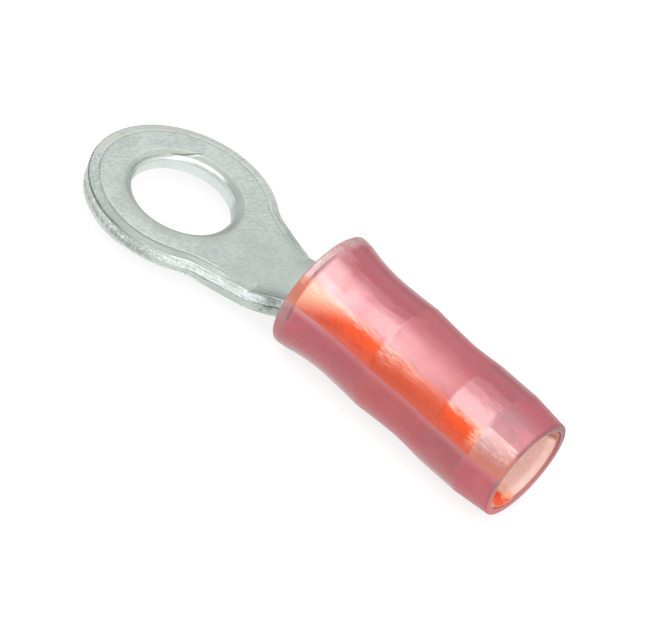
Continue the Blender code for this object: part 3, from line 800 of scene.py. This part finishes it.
def makeNylon(look):
    material, tree = newMaterial("pinkNylon")
    shader = tree.nodes["Principled BSDF"]
    shader.inputs["IOR"].default_value = 1.5
    shader.inputs["Specular IOR Level"].default_value = 1.0
    shader.inputs["Coat Weight"].default_value = 0.35
    shader.inputs["Coat Roughness"].default_value = 0.12
    place, x, y, z = millimetres(tree)
    along = maths(tree, "SUBTRACT", x, sleeveFront * 1000)
    around = axisAngle(tree, y, z)
    color = bodyColor(tree, look, place, along, around)
    wornAndSheenShare, speckle, streak, raggedAround = stripeWearAndSheen(tree, place, along, around)
    mask, ink = stripeInk(tree, look, along, around, streak)
    # the paler stripe: scuffed ink, and behind the lip a painted highlight
    wornAndSheen = tinted(tree, ramped(tree, speckle, 0.38, 0.62), look["wornThinAndSheen"], look["wornAndSheen"])
    color = tinted(tree, mask, color, tinted(tree, wornAndSheenShare, ink, wornAndSheen))
    # a pale patch on the taper, sharp along its upper edge: a painted highlight over scuffed, worn stripe
    tapered = ramped(tree, along, 9.28, 9.42)
    scuffedSheen = product(tree, tapered, ramped(tree, along, 10.85, 10.7), ramped(tree, around, 129.5, 131),
                      ramped(tree, raggedAround, 158, 149))
    patch = tinted(tree, ramped(tree, along, 9.3, 10.7), look["scuffedSheen"], look["scuffedSheenEnd"])
    patch = painted(tree, patch, look["stripeAtEnd"], ramped(tree, streak, 0.56, 0.42), 0.3)
    patch = painted(tree, patch, look["scuffedSheenLight"], ramped(tree, streak, 0.56, 0.68), 0.6)
    patch = painted(tree, patch, look["scuffedSheenLow"], ramped(tree, raggedAround, 138, 156), 0.7)
    color = tinted(tree, scuffedSheen, color, patch)
    # the bore's end, painted lighter over the shade of the gap to the copper
    radius = hypotenuse(tree, y, maths(tree, "SUBTRACT", z, axisZ * 1000))
    color = painted(tree, color, look["inside"], ramped(tree, radius, 1.96, 1.92),
                    ramped(tree, along, 10.6, 10.8))
    plug(tree, color, shader.inputs["Base Color"])
    # glossy before the middle ridge, duller behind it, on the taper, where it is scuffed and at the end
    plain = look["roughness"]
    scuffed = most(tree, product(tree, wornAndSheenShare, mask), scuffedSheen)
    middle = product(tree, band(tree, along, 4.3, 0.4, 7.5, 0.3), look["middleRoughness"] - plain)
    taper = product(tree, tapered, look["taperRoughness"] - plain)
    dull = product(tree, scuffed, look["wornRoughness"] - plain)
    rim = product(tree, ramped(tree, along, 10.76, 10.82), look["rimRoughness"] - plain)
    roughness = maths(tree, "ADD", most(tree, middle, taper, dull, rim), plain)
    plug(tree, roughness, shader.inputs["Roughness"])
    waviness = grain(tree, stretched(tree, place, (0.3, 1, 1)), 2.2, 3.0, 0.55)
    speckled = product(tree, speckle, maths(tree, "ADD", product(tree, scuffed, 0.4), 0.06))
    height = maths(tree, "ADD", waviness, speckled)
    plug(tree, bumped(tree, height, 0.00005, 0.7), shader.inputs["Normal"])
    return material


sleeve = makeSleeve(sleeveLook, makeNylon(nylonLook))
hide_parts("insulation_sleeve")
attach(sleeve, "root")
print("nylon sleeve made")


# The stage

# reflections show the floor and the room darker beyond the object than on the near side
floorLook = {"size": 2.0, "diffuse": (0.24, 0.24, 0.24, 1), "glow": 0.82, "farShade": 0.55}


def seenDirectly(tree):
    # 1 for rays to the camera and through clear things, and then 1 for reflections
    rays = tree.nodes.new("ShaderNodeLightPath")
    seen = most(tree, rays.outputs["Is Camera Ray"], rays.outputs["Is Transmission Ray"])
    return seen, rays.outputs["Is Glossy Ray"]


def makeFloor(look):
    shape = bmesh.new()
    bmesh.ops.create_grid(shape, x_segments=1, y_segments=1, size=look["size"])
    material, tree = newMaterial("paleFloor")
    shader = tree.nodes["Principled BSDF"]
    shader.inputs["Base Color"].default_value = look["diffuse"]
    shader.inputs["Roughness"].default_value = 1.0
    shader.inputs["Specular IOR Level"].default_value = 0.0
    shader.inputs["Emission Color"].default_value = (1, 1, 1, 1)
    seen, reflected = seenDirectly(tree)
    place, x, y, z = millimetres(tree)
    far = remaining(tree, product(tree, ramped(tree, y, 1, 16), look["farShade"]))
    level = most(tree, seen, product(tree, reflected, far))
    plug(tree, product(tree, level, look["glow"]), shader.inputs["Emission Strength"])
    finishMesh(shape, "floor", material)


makeFloor(floorLook)

# the strengths of the plain light and of what shows, the room's side, and how much darker it is there and
# beyond the object
worldLook = {
    "plain": 0.40, "seen": 1.0, "roomSide": (0.3167, -0.7055, 0.6340), "roomShade": 0.75, "farShade": 0.45,
}


def makeWorld(look):
    world = bpy.data.worlds.new("studio")
    bpy.context.scene.world = world
    world.use_nodes = True
    tree = world.node_tree
    background = tree.nodes["Background"]
    background.inputs["Color"].default_value = (1, 1, 1, 1)
    direction = tree.nodes.new("ShaderNodeTexCoord").outputs["Generated"]
    toward = tree.nodes.new("ShaderNodeVectorMath")
    toward.operation = "DOT_PRODUCT"
    plug(tree, direction, toward.inputs[0])
    toward.inputs[1].default_value = look["roomSide"]
    split = tree.nodes.new("ShaderNodeSeparateXYZ")
    plug(tree, direction, split.inputs[0])
    room = product(tree, ramped(tree, toward.outputs["Value"], 0.25, 0.92), look["roomShade"])
    far = product(tree, ramped(tree, split.outputs[1], 0.2, 0.7),
                  ramped(tree, split.outputs[2], 0.45, 0.15), look["farShade"])
    seen, reflected = seenDirectly(tree)
    brighter = product(tree, most(tree, seen, reflected), look["seen"] - look["plain"])
    level = maths(tree, "ADD", brighter, look["plain"])
    shaded = maths(tree, "SUBTRACT", level, product(tree, most(tree, room, far), reflected))
    plug(tree, shaded, background.inputs["Strength"])


makeWorld(worldLook)

# softboxes: the angle of each round the object's length, 90 overhead and 180 at the front; the lean toward
# the ring; how wide they look lengthwise and how far they reach round the object, all in degrees; and the
# layers (share of the reach, radiance), which all end at the front edge, so that light fades toward the back
lampDistance = 0.25
lampTarget = Vector((0.003, 0, axisZ))
lampLook = {
    "overhead": {"around": 99.2, "lean": 17.4, "width": 17.5, "reach": 78.6,
                 "layers": [(1.0, 1.0), (0.74, 1.6), (0.5, 2.0)]},
    "lip": {"around": 92, "lean": -2.0, "width": 14, "reach": 84, "layers": [(1.0, 1.2), (0.7, 1.7)]},
    "front": {"around": 128, "lean": 1.0, "width": 18, "reach": 28, "layers": [(1.0, 2.4)]},
    "wireEnd": {"around": 118, "lean": -44.0, "width": 26, "reach": 46, "layers": [(1.0, 3.9)]},
}


# from above the flat ring would mirror the bright inner layers straight back, so they pass the stamping by
passedBy = bpy.data.collections.new("passedBy")
for piece in (tongue, barrel):
    passedBy.objects.link(piece)
for member in passedBy.collection_objects:
    member.light_linking.link_state = "EXCLUDE"


def sideOf(degrees):
    # the length of a side that looks this wide from the object
    return 2 * lampDistance * math.tan(math.radians(degrees / 2))


def makeLamp(name, look):
    for k, (share, radiance) in enumerate(look["layers"]):
        data = bpy.data.lights.new(f"{name}{k}", "AREA")
        data.shape = "RECTANGLE"
        reach = look["reach"] * share
        data.size = sideOf(look["width"])
        data.size_y = sideOf(reach)
        data.energy = radiance * math.pi * data.size * data.size_y
        around = math.radians(look["around"] + (look["reach"] - reach) / 2)
        lean = math.radians(look["lean"])
        upright = math.cos(lean)
        toward = Vector((-math.sin(lean), upright * math.cos(around), upright * math.sin(around)))
        lengthwise = (Vector((1, 0, 0)) - toward * toward.x).normalized()
        lamp = bpy.data.objects.new(f"{name}{k}", data)
        lamp.location = lampTarget + toward * lampDistance
        lamp.rotation_mode = "QUATERNION"
        facing = Matrix((lengthwise, toward.cross(lengthwise), toward)).transposed()
        lamp.rotation_quaternion = facing.to_quaternion()
        if share < 1:
            lamp.light_linking.receiver_collection = passedBy
        bpy.context.scene.collection.objects.link(lamp)


for name, look in lampLook.items():
    makeLamp(name, look)
print("stage lit")

cameraLook = {
    "at": (0.046191, -0.100792, 0.092292), "turn": (2.048807, 0.948186, 0.012302), "lens": 203.085,
}


def makeCamera(look):
    data = bpy.data.cameras.new("camera")
    data.lens = look["lens"]
    data.clip_start = 0.001
    camera = bpy.data.objects.new("camera", data)
    turn = Vector(look["turn"])
    rows = Matrix.Rotation(turn.length, 3, turn.normalized())
    camera.location = look["at"]
    camera.rotation_mode = "QUATERNION"
    camera.rotation_quaternion = Matrix((rows[0], -rows[1], -rows[2])).transposed().to_quaternion()
    bpy.context.scene.collection.objects.link(camera)
    bpy.context.scene.camera = camera


makeCamera(cameraLook)
bpy.context.scene.view_settings.view_transform = "Standard"
